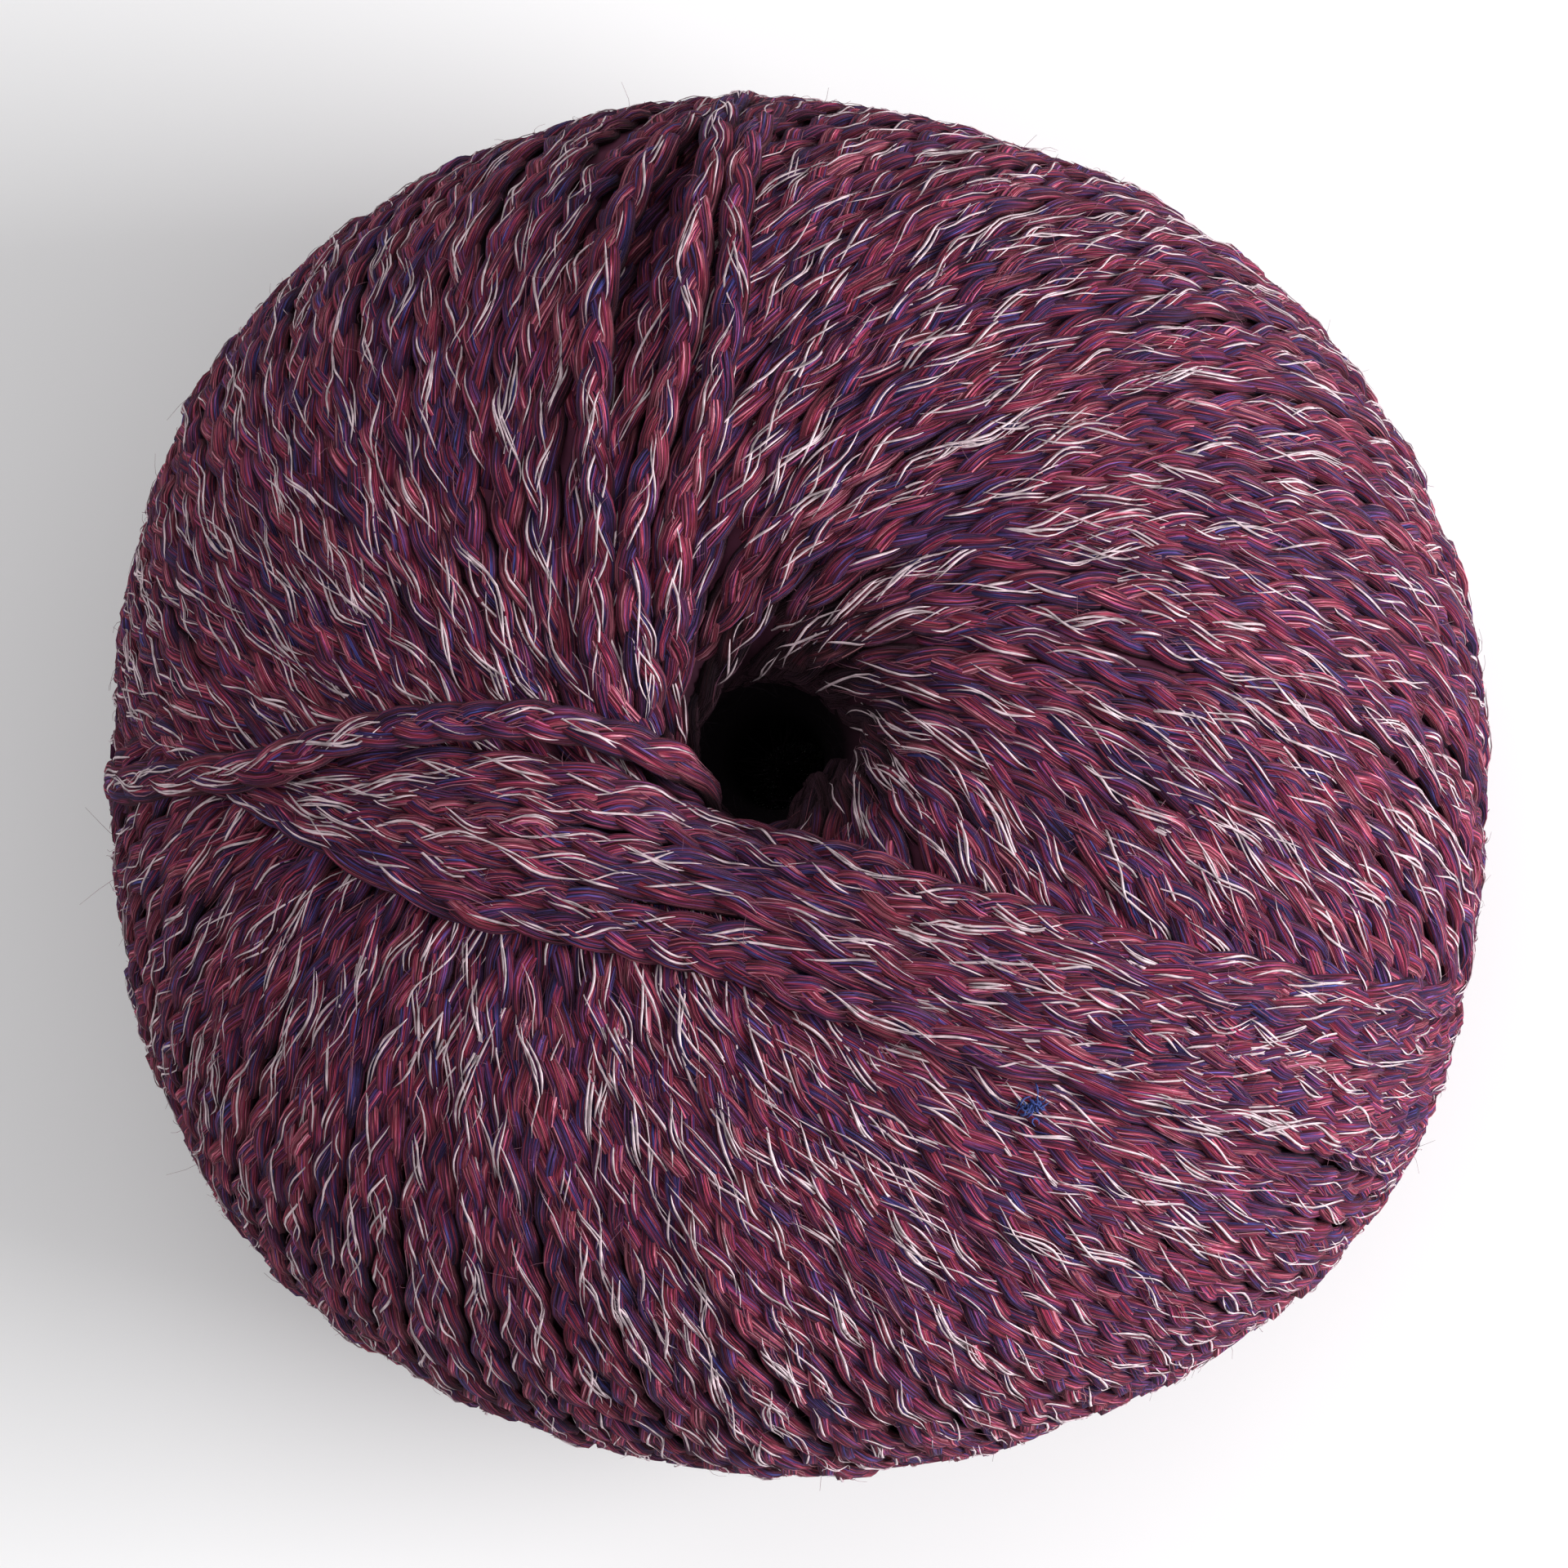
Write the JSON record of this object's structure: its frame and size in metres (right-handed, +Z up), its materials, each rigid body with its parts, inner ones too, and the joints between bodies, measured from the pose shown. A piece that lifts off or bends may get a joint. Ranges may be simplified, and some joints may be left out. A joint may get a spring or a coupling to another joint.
{
  "type": "yarn ball",
  "caption": "Ball of soft chain yarn, wound into a flattened ring round an open centre hole, with a crossing band and its end tucked in.",
  "frame": {"origin": "middle of the ball's box, at the bottom, on the face that it rests on", "axes": "+Z up along the centre hole; +X to the right of the picture and +Y to its top, the picture looking almost straight down"},
  "size_m": [0.0952, 0.0944, 0.0597],
  "materials": {
    "yarn": "soft, matt and fibrous"
  },
  "bodies": {
    "root": {"yarn_ball": "yarn"}
  },
  "joints": []
}
